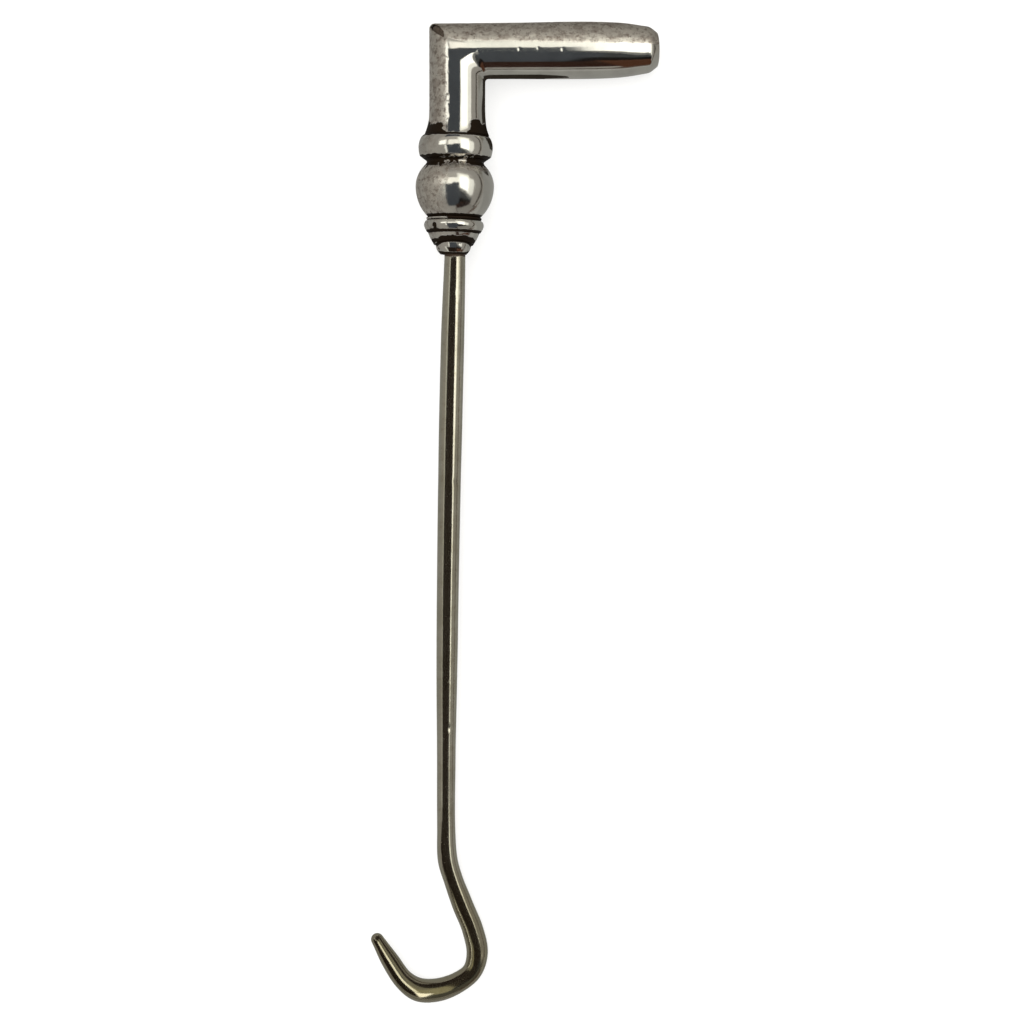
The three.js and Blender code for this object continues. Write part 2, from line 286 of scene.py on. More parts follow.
def ramp(values, low, high):
    """Goes smoothly from 0 at low to 1 at high, whichever of them is the greater number."""
    t = np.clip((values - low) / (high - low), 0, 1)
    return t * t * (3 - 2 * t)


def bump_at(values, centre, width):
    """1 at the centre, falling away on both sides in a bell of this half width."""
    return np.exp(-((values - centre) / width) ** 2)


def finish_piece(made, material, nodes, leans=False):
    """Carries a finished piece to its place, gives it its material and hides the imported parts that it
    stands in for.
    """
    points = coordinates(made)
    set_coordinates(made, to_model(leaned(points) if leans else points))
    made.data.materials.append(material)
    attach(made, "root")
    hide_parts(*nodes)


# ---------------------------------------------------------------- materials

class Nodes:
    """Short forms for building one material's node tree."""

    def __init__(self, name):
        self.material = bpy.data.materials.new(name)
        self.material.use_nodes = True
        self.tree = self.material.node_tree
        self.shader = self.tree.nodes["Principled BSDF"]
        where = self.tree.nodes.new("ShaderNodeTexCoord")
        scale = self.tree.nodes.new("ShaderNodeVectorMath")
        scale.operation = "SCALE"
        scale.inputs["Scale"].default_value = 1 / MM
        self.tree.links.new(where.outputs["Object"], scale.inputs[0])
        self.place = scale.outputs[0]  # the place on the object, in millimetres

    def put(self, socket, value):
        if isinstance(value, bpy.types.NodeSocket):
            self.tree.links.new(value, socket)
        else:
            socket.default_value = value

    def math(self, operation, a, b=0.0, clamp=False):
        node = self.tree.nodes.new("ShaderNodeMath")
        node.operation = operation
        node.use_clamp = clamp
        self.put(node.inputs[0], a)
        self.put(node.inputs[1], b)
        return node.outputs[0]

    def mix(self, share, a, b):
        node = self.tree.nodes.new("ShaderNodeMix")
        node.data_type = "FLOAT"
        self.put(node.inputs["Factor"], share)
        self.put(node.inputs["A"], a)
        self.put(node.inputs["B"], b)
        return node.outputs["Result"]

    def blend(self, share, a, b):
        node = self.tree.nodes.new("ShaderNodeMix")
        node.data_type = "RGBA"
        self.put(node.inputs[0], share)
        self.put(node.inputs[6], (*a, 1) if isinstance(a, tuple) else a)
        self.put(node.inputs[7], (*b, 1) if isinstance(b, tuple) else b)
        return node.outputs[2]

    def between(self, value, low, high):
        """Rises smoothly from 0 at low to 1 at high."""
        node = self.tree.nodes.new("ShaderNodeMapRange")
        node.interpolation_type = "SMOOTHSTEP"
        self.put(node.inputs["Value"], value)
        node.inputs["From Min"].default_value = low
        node.inputs["From Max"].default_value = high
        return node.outputs["Result"]

    def stretched(self, x, y, z):
        node = self.tree.nodes.new("ShaderNodeVectorMath")
        node.operation = "MULTIPLY"
        self.tree.links.new(self.place, node.inputs[0])
        node.inputs[1].default_value = (x, y, z)
        return node.outputs[0]

    def noise(self, size, detail=2.0, roughness=0.5, vector=None):
        """Noise with lumps of about this many millimetres."""
        node = self.tree.nodes.new("ShaderNodeTexNoise")
        self.tree.links.new(vector or self.place, node.inputs["Vector"])
        node.inputs["Scale"].default_value = 1 / size
        node.inputs["Detail"].default_value = detail
        node.inputs["Roughness"].default_value = roughness
        return node.outputs["Fac"]

    def read(self, name):
        node = self.tree.nodes.new("ShaderNodeAttribute")
        node.attribute_name = name
        return node.outputs["Fac"]

    def bump(self, height, depth, under=None):
        """Relief of this depth in millimetres, laid over another relief if one is given."""
        node = self.tree.nodes.new("ShaderNodeBump")
        node.inputs["Strength"].default_value = 1
        node.inputs["Distance"].default_value = depth * MM
        self.put(node.inputs["Height"], height)
        if under is not None:
            self.put(node.inputs["Normal"], under)
        return node.outputs["Normal"]


BRIGHT_SILVER = (0.70, 0.68, 0.62)
GREY_SILVER = (0.61, 0.59, 0.54)
SATIN_SILVER = (0.50, 0.48, 0.44)
DULL_SILVER = (0.69, 0.645, 0.575)
BLOOM = (0.42, 0.365, 0.32)
TARNISH = (0.22, 0.17, 0.14)
SILVER_PIT = (0.07, 0.05, 0.035)
# Near black: tarnish and grime in recesses, and painted shade on the sides of some rings.
GRIME_AND_SHADE = (0.010, 0.006, 0.003)

BRIGHT_STEEL = (0.54, 0.51, 0.42)
GREY_STEEL = (0.46, 0.43, 0.34)
BROWN_FILM = (0.33, 0.27, 0.18)
FORGED_STEEL = (0.32, 0.28, 0.17)
STEEL_PIT = (0.10, 0.07, 0.045)
RUST = (0.035, 0.02, 0.01)

DARK_PITCH = (0.028, 0.019, 0.012)
PALE_PITCH = (0.064, 0.046, 0.032)
PITCH_GRIT = (0.014, 0.009, 0.006)

SILVER_GRAIN = (0.06, 1, 1)  # draws the silver's hairlines out along X
STEEL_GRAIN = (1, 0.05, 1)  # and the steel's along Y


def silver_material(name):
    """Polished silver with fine hairlines, and with marks that say where it differs.

    Where it is marked "satin" it is only rubbed bright, where it is marked "dull" it is mottled and
    pitted, and where it is marked dirty, black tarnish and grime fill its recesses; where that mark is
    thickened towards the sides of a ring, its black is painted shade.
    """
    n = Nodes(name)
    clouds = n.noise(2.6, 3)
    blotches = n.noise(0.9, 4, 0.6)
    mottle = n.noise(0.42, 5, 0.65)
    specks = n.noise(0.17, 3, 0.6)
    hairlines = n.noise(0.07, 2, 0.5, n.stretched(*SILVER_GRAIN))
    ragged = n.math("ADD", n.math("MULTIPLY", mottle, 0.7), n.math("MULTIPLY", blotches, 0.5))
    ragged = n.math("SUBTRACT", ragged, 0.6)
    dull = n.between(n.math("ADD", n.read("dull"), n.math("MULTIPLY", ragged, 0.4)), 0.25, 0.75)
    dirt_and_shade = n.between(n.math("ADD", n.read("dirt_and_shade"), ragged), 0.4, 0.66)
    satin = n.math("MULTIPLY", n.read("satin"), n.between(blotches, 0.2, 0.6))
    stain = n.math("MULTIPLY", n.between(mottle, 0.5, 0.64), dull)
    bloom = n.math("MULTIPLY", n.between(blotches, 0.46, 0.6), dull)
    worn = n.math("MAXIMUM", dull, n.math("MULTIPLY", satin, 0.5))
    pits = n.math("MULTIPLY", n.between(specks, 0.62, 0.72), worn)
    tone = n.blend(n.between(clouds, 0.35, 0.7), BRIGHT_SILVER, GREY_SILVER)
    tone = n.blend(n.math("MULTIPLY", satin, 0.35), tone, SATIN_SILVER)
    tone = n.blend(n.math("MULTIPLY", dull, 0.85), tone, DULL_SILVER)
    tone = n.blend(n.math("MULTIPLY", bloom, 0.7), tone, BLOOM)
    tone = n.blend(n.math("MULTIPLY", stain, 0.7), tone, TARNISH)
    tone = n.blend(n.math("MULTIPLY", pits, 0.75), tone, SILVER_PIT)
    # The black laid on here is tarnish and grime, and painted shade where the mark is thickened on a
    # ring's sides.
    n.put(n.shader.inputs["Base Color"], n.blend(dirt_and_shade, tone, GRIME_AND_SHADE))
    n.put(n.shader.inputs["Metallic"], n.math("SUBTRACT", 1.0, n.math("MULTIPLY", dirt_and_shade, 0.85)))
    rough = n.math("ADD", 0.07, n.math("MULTIPLY", hairlines, 0.06))
    rough = n.mix(satin, rough, n.math("ADD", 0.14, n.math("MULTIPLY", mottle, 0.16)))
    rough = n.mix(dull, rough, n.math("ADD", 0.22, n.math("MULTIPLY", mottle, 0.28)))
    n.put(n.shader.inputs["Roughness"], n.mix(dirt_and_shade, rough, 0.55))
    n.shader.inputs["Specular IOR Level"].default_value = 0.06
    lines = n.bump(hairlines, 0.0006)
    grit = n.math("ADD", n.math("MULTIPLY", mottle, 0.7), n.math("MULTIPLY", pits, -0.8))
    relief = n.math("MULTIPLY", grit, n.math("MAXIMUM", dull, n.math("MULTIPLY", satin, 0.45)))
    n.put(n.shader.inputs["Normal"], n.bump(relief, 0.035, lines))
    return n.material


def steel_material():
    """Old polished steel: grey with an olive brown cast, lengthwise hairlines and small pits.

    Where it is marked "forged" it is browner, and where it is marked "dirt" it is rusty.
    """
    n = Nodes("polished steel")
    clouds = n.noise(3.0, 3)
    mottle = n.noise(0.5, 4, 0.6)
    specks = n.noise(0.14, 2)
    hairlines = n.noise(0.06, 2, 0.5, n.stretched(*STEEL_GRAIN))
    uneven = n.math("MULTIPLY", n.math("SUBTRACT", mottle, 0.5), 0.9)
    rust = n.between(n.math("ADD", n.read("dirt_and_shade"), uneven), 0.42, 0.66)
    pits = n.between(specks, 0.70, 0.76)
    tone = n.blend(n.between(clouds, 0.35, 0.7), BRIGHT_STEEL, GREY_STEEL)
    tone = n.blend(n.math("MULTIPLY", n.between(mottle, 0.5, 0.75), 0.4), tone, BROWN_FILM)
    tone = n.blend(n.math("MULTIPLY", n.read("forged"), 0.45), tone, FORGED_STEEL)
    tone = n.blend(n.math("MULTIPLY", pits, 0.6), tone, STEEL_PIT)
    n.put(n.shader.inputs["Base Color"], n.blend(rust, tone, RUST))
    n.put(n.shader.inputs["Metallic"], n.math("SUBTRACT", 1.0, n.math("MULTIPLY", rust, 0.8)))
    rough = n.math("ADD", 0.12, n.math("MULTIPLY", hairlines, 0.1))
    rough = n.math("ADD", rough, n.math("MULTIPLY", pits, 0.2))
    n.put(n.shader.inputs["Roughness"], n.mix(rust, rough, 0.5))
    relief = n.math("ADD", n.math("MULTIPLY", hairlines, 0.15), n.math("MULTIPLY", pits, -1.0))
    n.put(n.shader.inputs["Normal"], n.bump(relief, 0.006))
    return n.material


def pitch_material():
    """Hard brown setting pitch, matt and crumbly."""
    n = Nodes("brown pitch")
    lumps = n.noise(0.25, 5, 0.6)
    grit = n.noise(0.06, 3, 0.7)
    tone = n.blend(n.between(lumps, 0.35, 0.65), DARK_PITCH, PALE_PITCH)
    n.put(n.shader.inputs["Base Color"], n.blend(n.between(grit, 0.55, 0.75), tone, PITCH_GRIT))
    n.shader.inputs["Roughness"].default_value = 0.85
    n.put(n.shader.inputs["Normal"], n.bump(n.math("ADD", lumps, grit), 0.05))
    return n.material


CROOK_SILVER = silver_material("silver of the crook")
TURNED_SILVER = silver_material("silver of the mouldings")
STEEL = steel_material()
PITCH = pitch_material()


# ---------------------------------------------------------------- crook: arm and neck in one shell

HOLE_ANGLE = math.radians(30)  # of the hole's middle, up from the plane of the crook
HOLE_OFFSET = -0.14  # how far its middle lies from the ridge, towards the neck
HOLE_REACH = 0.43  # half its length along the ridge, in radians
HOLE_HALF_WIDTH = 0.36
HOLE_RAGGED = 0.22
HOLE_RIM_DROP = 0.07
HOLE_RIM_SHEET = 0.1  # share of the wall's thickness that is left at its rim
HOLE_THINNING = 2.4  # how far out the wall has its whole thickness, as a share of the hole's reach
CORNER_EASE = 0.45  # how far from the corner the shell starts to turn, on the plane of the crook
CROWN_EASE = 1.2  # and how much sooner on its crown
CROOK_SIDES = 144
ARM_RINGS = 150
CORNER_RINGS = 16
NECK_RINGS = 90
ARM_CROWDING = 1.6  # above 1 draws the rings closer together towards the corner
NECK_CROWDING = 1.5
SPREAD_START = 6.4  # the station where the neck's outer side starts to spread


def crook_line(angle):
    """One line of the shell's outer surface, from the arm's end round the corner to the neck's foot.

    The angle is measured from the outside of the bend, in the plane of the crook, up to its crown.
    """
    arm, neck = smooth(ARM_OUTLINE, 200), smooth(NECK_OUTLINE, 200)
    cosine, sine = math.cos(angle), math.sin(angle)
    corner_at = cosine * (ARM_RADIUS * math.sin(ARM_RISE) - NECK_RADIUS) / math.cos(ARM_RISE)
    ease = CORNER_EASE + CROWN_EASE * (1 - abs(cosine))
    line = []
    for share in np.linspace(1, 0, ARM_RINGS) ** ARM_CROWDING:
        distance = corner_at + ease + (ARM_LENGTH - corner_at - ease) * share
        radius = np.interp(distance, arm[:, 1], arm[:, 0])
        x = math.cos(ARM_RISE) * distance - math.sin(ARM_RISE) * radius * cosine
        y = math.sin(ARM_RISE) * distance + math.cos(ARM_RISE) * radius * cosine
        line.append((x, y, radius * sine))
    start = np.array(line[-1])
    height = math.sin(ARM_RISE) * corner_at + math.cos(ARM_RISE) * ARM_RADIUS * cosine
    corner = np.array((-NECK_RADIUS * cosine, height, (ARM_RADIUS + NECK_RADIUS) / 2 * sine))
    end = np.array((corner[0], height - ease, NECK_RADIUS * sine))
    for t in np.linspace(0, 1, CORNER_RINGS + 2)[1:-1]:
        line.append(tuple((1 - t) ** 2 * start + 2 * t * (1 - t) * corner + t ** 2 * end))
    foot = NECK_FOOT + math.tan(MOULDING_LEAN) * NECK_FOOT_RADIUS * cosine
    for share in np.linspace(0, 1, NECK_RINGS) ** NECK_CROWDING:
        station = -end[1] + (foot + end[1]) * share
        spread = FOOT_SPREAD * max(0, cosine) * float(ramp(np.array(station), SPREAD_START, NECK_FOOT))
        radius = np.interp(station, neck[:, 1], neck[:, 0]) + spread
        line.append((-radius * cosine, -station, radius * sine))
    return line


def crook_rings():
    angles = np.linspace(0, 2 * math.pi, CROOK_SIDES, endpoint=False)
    return np.array([crook_line(angle) for angle in angles]).transpose(1, 0, 2)


def outward_share(points):
    """How far points of the crook lie to the outside of its bend, as a share of its radius."""
    on_arm = points[:, 0] > -points[:, 1]
    return np.where(on_arm, points[:, 1], -points[:, 0]) / ARM_RADIUS


def hole_reach(points):
    """How far points are from the middle of the hole, along the ridge, across it, and as a share.

    The share is 1 at the hole's ragged rim.
    """
    along = np.arctan2(points[:, 2], outward_share(points) * ARM_RADIUS) - HOLE_ANGLE
    across = (points[:, 0] + points[:, 1]) / math.sqrt(2) - HOLE_OFFSET
    reach = np.hypot(along / HOLE_REACH, across / HOLE_HALF_WIDTH)
    ragged = 1 + noise_at(points, 0.4, 21) * HOLE_RAGGED
    outside = points @ np.array((-1, 1, 0.3)) > 0
    far_away = 99
    return along, across, np.where(outside, reach * ragged, far_away)


def cut_hole(made):
    """Opens the hole worn through the ridge of the mitre, and rolls its rim in a little."""
    _, _, reach = hole_reach(coordinates(made))
    work = bmesh.new()
    work.from_mesh(made.data)
    gone = [f for f in work.faces if min(reach[v.index] for v in f.verts) < 1]
    bmesh.ops.delete(work, geom=gone, context="FACES")
    work.verts.index_update()
    points = np.array([tuple(v.co) for v in work.verts])
    along, across, reach = hole_reach(points)
    sine, cosine = math.sin(HOLE_ANGLE), math.cos(HOLE_ANGLE)
    up_ridge = ARM_RADIUS * np.array((sine, -sine, cosine))
    over_ridge = np.where(across[:, None] > -HOLE_OFFSET, (1.2, 0.2, 0), (0.2, 1.2, 0))
    rim = np.array([v.is_boundary for v in work.verts]) & (reach < 2)
    slide = np.where(rim, 1 / reach - 1, 0)
    points += slide[:, None] * (along[:, None] * up_ridge + across[:, None] * over_ridge)
    out = np.array((-cosine, cosine, 2 * sine))
    lowered = bump_at(np.maximum(reach, 1), 1, 0.35) * HOLE_RIM_DROP
    points -= lowered[:, None] * out / np.linalg.norm(out)
    for vertex in work.verts:
        vertex.co = points[vertex.index]
    work.to_mesh(made.data)
    work.free()


def mark_crook(made, points, dirt_and_shade):
    """Marks what faces the outside of the bend as dull, less of it on the neck than on the arm."""
    out = outward_share(points)
    on_neck = ramp(-points[:, 0] - points[:, 1], -1, 1)
    mark(made, "dull", ramp(out - 0.23 * on_neck, 0.14, 0.38))
    mark(made, "satin", ramp(out, -0.1, 0.3) * 0.3)
    mark(made, "dirt_and_shade", dirt_and_shade)


def neck_grime_and_shade(points):
    """Grime all round the joint at the foot of the neck, and above it black on both flanks that is
    partly grime and partly painted shade, thin on the crown, with a ragged edge.
    """
    station = -points[:, 1]
    on_neck = points[:, 0] < station
    flank = np.abs(points[:, 0] + 0.3) / NECK_RADIUS
    ragged = noise_at(points, 0.9, 31) * 0.5
    # The flank term is painted shade laid over grime; the band at the very foot is grime in the joint.
    thick = ramp(station + ragged, 6.5, 7.6) * ramp(flank, 0.3, 0.62) + ramp(station, 7.9, 8.15) * 0.55
    return thick * on_neck


def thicken(made):
    """Gives the open shell the thickness of its sheet, inwards. It is worn thin round the hole."""
    _, _, reach = hole_reach(coordinates(made))
    sheet = made.vertex_groups.new(name="sheet")
    for index, share in enumerate(ramp(reach, 1, HOLE_THINNING)):
        sheet.add([index], float(share), "REPLACE")
    solid = made.modifiers.new("wall", "SOLIDIFY")
    solid.thickness = WALL
    solid.vertex_group = "sheet"
    solid.thickness_vertex_group = HOLE_RIM_SHEET
    solid.offset = -1
    thick = bpy.data.meshes.new_from_object(made.evaluated_get(bpy.context.evaluated_depsgraph_get()))
    made.modifiers.clear()
    made.vertex_groups.clear()
    made.data = thick
    thick.set_sharp_from_angle(angle=SHARP)


def crook_shell():
    made = skin("crook_shell", crook_rings())
    points = coordinates(made)
    dull = ramp(outward_share(points), 0.22, 0.5)
    waves = noise_at(points, 4.5, 1) * 0.012 + noise_at(points, 1.6, 2) * 0.004
    pits = -ramp(noise_at(points, 0.5, 3), 0.15, 0.5) * dull * 0.03
    for along, across in ARM_NICKS:
        off = (points - np.array((along, across, ARM_RADIUS))) / (*ARM_NICK_SIZE, 1)
        pits -= bump_at(np.linalg.norm(off, axis=1), 0, 1) * ARM_NICK_DEPTH
    dent(made, waves + pits)
    cut_hole(made)
    points = coordinates(made)
    mark_crook(made, points, neck_grime_and_shade(points))
    thicken(made)
    finish_piece(made, CROOK_SILVER, ["arm_tube", "neck_tube"])


def arm_cap():
    seam = ARM_LENGTH + CAP_GAP
    plug = [(CAP_PLUG_RADIUS, seam - CAP_PLUG_DEPTH), (CAP_PLUG_RADIUS, seam), (ARM_END_RADIUS, seam)]
    chamfer = [(ARM_END_RADIUS - 0.07, seam + 0.42), (CAP_FACE_RADIUS + 0.1, ARM_REACH - 0.08)]
    face = [(CAP_FACE_RADIUS, ARM_REACH), (0.05, ARM_REACH)]
    outline = plug + eased([plug[-1], *chamfer, *face], 0.35)[1:]
    made = turned("arm_cap", outline, 128, 0.08, closed=False, capped=True)
    dent(made, noise_at(coordinates(made), 1.8, 5) * 0.01)
    turn = Matrix.Rotation(math.pi / 2 + ARM_RISE, 3, "Z")
    set_coordinates(made, coordinates(made) @ np.array(turn).T)
    points = coordinates(made)
    mark_crook(made, points, 0 * points[:, 0])
    finish_piece(made, CROOK_SILVER, ["arm_end_cap"])


# ---------------------------------------------------------------- mouldings

SPOT_PLACE = (-2.05, -17.15, 2.0)  # of a black spot on the left of the lower collar
SPOT_SIZE = (0.3, 0.42, 0.6)


def sideways(points):
    """How far round to either side points of a ring lie, from 0 at its top to 1 at its sides."""
    return np.abs(points[:, 0]) / np.hypot(points[:, 0], points[:, 2])


def bands(station, listed):
    """The strength of grime that lies in bands of (station, half width, strength)."""
    return sum((bump_at(station, at, half) * strength for at, half, strength in listed), 0 * station)


def moulding(name, outline, grime, satin, dull_sides=(0.2, 0.8), sides=160, wave=0.012):
    """One turned ring of the mouldings, dented, dull on its left side and grimy in bands."""
    made = turned(name, outline, sides)
    points = coordinates(made)
    dent(made, noise_at(points, 2.4, 7) * wave + noise_at(points, 0.8, 8) * wave * 0.25)
    station = -points[:, 1]
    radius = np.maximum(np.hypot(points[:, 0], points[:, 2]), 0.1)
    mark(made, "dirt_and_shade", bands(station, grime))
    mark(made, "dull", ramp(-points[:, 0] / radius, *dull_sides) * 0.5)
    mark(made, "satin", satin + 0 * station)
    return made, points


def place_moulding(made, nodes):
    finish_piece(made, TURNED_SILVER, nodes, leans=True)


def streaks(points, seed):
    """Noise drawn out down the knop, from its waist towards its foot."""
    angle = np.arctan2(points[:, 0], points[:, 2])
    rolled = np.column_stack([angle * 3.2, -points[:, 1] * 0.35, 0 * angle])
    return noise_at(rolled, 0.45, seed)


def upper_collar():
    top = NECK_FOOT + SEAM
    bead = smooth([(3.12, top), (3.36, 8.42), (3.55, 8.8), (3.64, 9.3), (3.61, 9.85), (3.5, 10.28)], 40)
    bore = 2.0
    undercut = eased([bead[-1], (3.07, COLLAR_FOOT), (bore, COLLAR_FOOT)], 0.06)[1:]
    made, points = moulding("upper_collar_ring", as_pairs(bead) + undercut + [(bore, top)], [], 0.25)
    station = -points[:, 1]
    # Tarnish under the bead and at its top; the extra towards the ring's sides is painted shade.
    thick = 0.6 + 0.7 * ramp(sideways(points), 0.25, 0.75) + 0.8 * noise_at(points, 0.4, 43)
    under = bump_at(station, COLLAR_FOOT - 0.12, 0.22) * thick
    mark(made, "dirt_and_shade", under + bump_at(station, top, 0.3) * 1.1)
    place_moulding(made, ["upper_collar"])


def knop():
    top = COLLAR_FOOT + SEAM
    round_part = knop_arc(KNOP_SHOULDER, KNOP_FOOT, 60)
    waist = smooth([(3.02, top), (2.8, top + 0.28), round_part[0]], 12)
    outer = as_pairs(waist) + round_part[1:]
    inside = reversed(knop_arc(KNOP_SHOULDER, KNOP_FOOT - WALL, 20))
    inner = [(max(r - WALL, TANG_BORE), s) for r, s in inside]
    base = [(TANG_BORE, KNOP_FOOT), (TANG_BORE, KNOP_FOOT - WALL)]
    outline = outer + base + inner + [(1.6, top)]
    made, points = moulding("knop_shell", outline, [], 0.4, sides=192, wave=0.02)
    station = -points[:, 1]
    run = streaks(points, 41)
    crust = ramp(station, 12.6, 11.2)
    flank = ramp(-points[:, 0] / KNOP_RADIUS, -0.1, 0.7)
    # Tarnish in the waist and at the foot; the waist band's extra towards the ring's sides is painted
    # shade.
    thick = 0.6 + 0.8 * ramp(sideways(points), 0.25, 0.75) + 0.8 * noise_at(points, 0.4, 43)
    grime = bump_at(station, top + 0.2, 0.6) * thick + bump_at(station, KNOP_FOOT + 0.05, 0.3) * 1.2
    mark(made, "dirt_and_shade", grime + ramp(run, 0.1, 0.5) * crust * 0.55)
    mark(made, "satin", 0.35 + 0.6 * crust)
    runs = ramp(run, 0.1, 0.4) * ramp(station, 14.6, 11.6)
    mark(made, "dull", np.maximum(flank * 0.74, crust * 0.78) + runs * 0.5)
    place_moulding(made, ["knop_upper_half", "knop_lower_half"])


def lower_collar():
    top = KNOP_FOOT + SEAM
    lip = eased([(2.5, top), (2.71, top + 0.04), (2.71, top + 0.22), (2.6, top + 0.31)], 0.06)
    corners = [(2.6, top + 0.31), (2.82, top + 0.42), (2.93, top + 0.75), (2.85, top + 1.1)]
    bead = smooth([*corners, (2.63, LOWER_COLLAR_FOOT)], 24)
    outline = lip[:-1] + as_pairs(bead) + bored(LOWER_COLLAR_FOOT, top)
    grime = [(top + 0.02, 0.1, 1.2), (top + 0.31, 0.07, 0.9), (LOWER_COLLAR_FOOT, 0.2, 1.2)]
    made, points = moulding("lower_collar_ring", outline, grime, 0.25)
    station = -points[:, 1]
    spot = np.linalg.norm((points - np.array(SPOT_PLACE)) / SPOT_SIZE, axis=1)
    front = ramp(points[:, 0], -1.3, -0.4) * ramp(points[:, 2], 0, 1)
    on_lip = bump_at(station, top + 0.14, 0.17) * front
    mark(made, "dirt_and_shade", bands(station, grime) + bump_at(spot, 0, 1) * 0.9 + on_lip * 1.1)
    place_moulding(made, ["lower_collar"])


def slope_front(made, start, end):
    """Draws the top of a ring towards the knop, from not at all at one station to fully at another."""
    points = coordinates(made)
    share = np.clip((-points[:, 1] - start) / (end - start), 0, 1)
    points[:, 1] += FRONT_SLOPE * np.maximum(points[:, 2], 0) * share
    set_coordinates(made, points)


def ferrule():
    top = LOWER_COLLAR_FOOT + SEAM
    cup = smooth([(2.53, top), (2.3, top + 0.55), (FERRULE_FOOT_RADIUS, FERRULE_FOOT)], 16)
    made, points = moulding("ferrule_cup", as_pairs(cup) + bored(FERRULE_FOOT, top), [], 0.25)
    station = -points[:, 1]
    front = ramp(points[:, 2] / np.hypot(points[:, 0], points[:, 2]), 0.35, 0.8)
    ragged = noise_at(points, 0.8, 51) * 0.3
    arch = bump_at(station + ragged, FERRULE_FOOT - 0.1, 0.3 + 0.35 * front)
    mark(made, "dirt_and_shade", bump_at(station, top, 0.16) + arch)
    slope_front(made, LOWER_COLLAR_FOOT, FERRULE_FOOT)
    place_moulding(made, ["ferrule"])


def sleeve():
    top = FERRULE_FOOT + SEAM
    cone = smooth([(1.74, top), (1.62, top + 0.45), (1.28, SLEEVE_FOOT)], 14)
    bore = [(SLEEVE_BORE, SLEEVE_FOOT), (SLEEVE_BORE, top)]
    grime = [(top, 0.12, 1.0), (SLEEVE_FOOT, 0.15, 1.2)]
    made, points = moulding("sleeve_cone", as_pairs(cone) + bore, grime, 0.2,
                            dull_sides=(0.4, 1.0), sides=128, wave=0.008)
    # The black on the sleeve's sides is painted shade, added to the grime bands at its ends.
    sides = ramp(sideways(points), 0.6, 0.95)
    mark(made, "dirt_and_shade", bands(-points[:, 1], grime) + sides * 0.5)
    slope_front(made, SLEEVE_FOOT, FERRULE_FOOT)
    place_moulding(made, ["shank_sleeve"])


# ---------------------------------------------------------------- steel hook

WIRE_STEP = 0.2
WIRE_SIDES = 40
FORGED_FROM = 78  # station where the shank's even polish starts to give way to the forged hook's
FORGED_TO = 84
TIP_TURNS = (15, 30, 45, 60, 74, 84)  # degrees, of the rings that round off the tip


def wire_path(step):
    """Evenly spaced places on the steel's axis, with its diameter and its way at each.

    The axis is a centripetal Catmull-Rom curve through the places that are listed.
    """
    listed = np.array(WIRE, float)
    lengths = np.linalg.norm(np.diff(listed[:, :2], axis=0), axis=1)
    knots = np.concatenate([[0], np.cumsum(lengths ** 0.5)])
    ends = np.vstack([2 * listed[0] - listed[1], listed, 2 * listed[-1] - listed[-2]])
    knots = np.concatenate([[2 * knots[0] - knots[1]], knots, [2 * knots[-1] - knots[-2]]])
    dense = []
    for k in range(len(listed) - 1):
        p, t = ends[k:k + 4], knots[k:k + 4]
        for u in np.linspace(t[1], t[2], 60, endpoint=False):
            a = [((t[i + 1] - u) * p[i] + (u - t[i]) * p[i + 1]) / (t[i + 1] - t[i]) for i in range(3)]
            b = [((t[i + 2] - u) * a[i] + (u - t[i]) * a[i + 1]) / (t[i + 2] - t[i]) for i in range(2)]
            dense.append(((t[2] - u) * b[0] + (u - t[1]) * b[1]) / (t[2] - t[1]))
    dense = np.array(dense + [listed[-1]])
    run = np.concatenate([[0], np.cumsum(np.linalg.norm(np.diff(dense[:, :2], axis=0), axis=1))])
    even = np.linspace(0, run[-1], int(run[-1] / step) + 1)
    place = np.stack([np.interp(even, run, dense[:, k]) for k in range(3)], -1)
    way = np.gradient(place[:, :2], axis=0)
    window = np.ones(7) / 7
    way = np.stack([np.convolve(np.pad(way[:, k], 3, "edge"), window, "valid") for k in range(2)], -1)
    return place, way / np.linalg.norm(way, axis=1)[:, None]


def wire_x(station):
    """Where the straight of the shank is, from side to side, at these stations."""
    straight = np.array(WIRE[:8])
    return np.interp(station, -straight[:, 1], straight[:, 0])


def wire_ring(centre, radius, across):
    """One ring of the steel's surface, in the plane of straight up and the way across."""
    angle = np.linspace(0, 2 * math.pi, WIRE_SIDES, endpoint=False)[:, None]
    return centre + radius * (np.cos(angle) * across + np.sin(angle) * np.array((0, 0, 1)))


def steel_hook():
    place, way = wire_path(WIRE_STEP)
    across = np.column_stack([way[:, 1], -way[:, 0], 0 * way[:, 0]])
    rings = [wire_ring(np.array((x, y, 0)), size / 2, side) for (x, y, size), side in zip(place, across)]
    tip, tip_radius = np.array((*place[-1][:2], 0)), place[-1][2] / 2
    onward = np.array((*way[-1], 0))
    for turn in np.radians(TIP_TURNS):
        centre = tip + onward * tip_radius * math.sin(turn)
        rings.append(wire_ring(centre, tip_radius * math.cos(turn), across[-1]))
    made = skin("hook_wire", np.array(rings)[:, ::-1], capped=True)
    points = coordinates(made)
    station = -points[:, 1]
    forged = ramp(station, FORGED_FROM, FORGED_TO)
    waves = noise_at(points, 6, 11) * 0.012 + noise_at(points, 2.2, 12) * (0.004 + 0.02 * forged)
    turned_to = np.arctan2(points[:, 0] - wire_x(station), points[:, 2])
    for at, degrees, depth in SHANK_NICKS:
        along = bump_at(station, at, SHANK_NICK_LENGTH)
        waves -= along * bump_at(turned_to - math.radians(degrees), 0, SHANK_NICK_WIDTH) * depth
    dent(made, waves)
    mark(made, "dirt_and_shade", bump_at(station, SLEEVE_FOOT, 0.35) * 0.9)
    mark(made, "forged", forged)
    finish_piece(made, STEEL, ["steel_hook"])


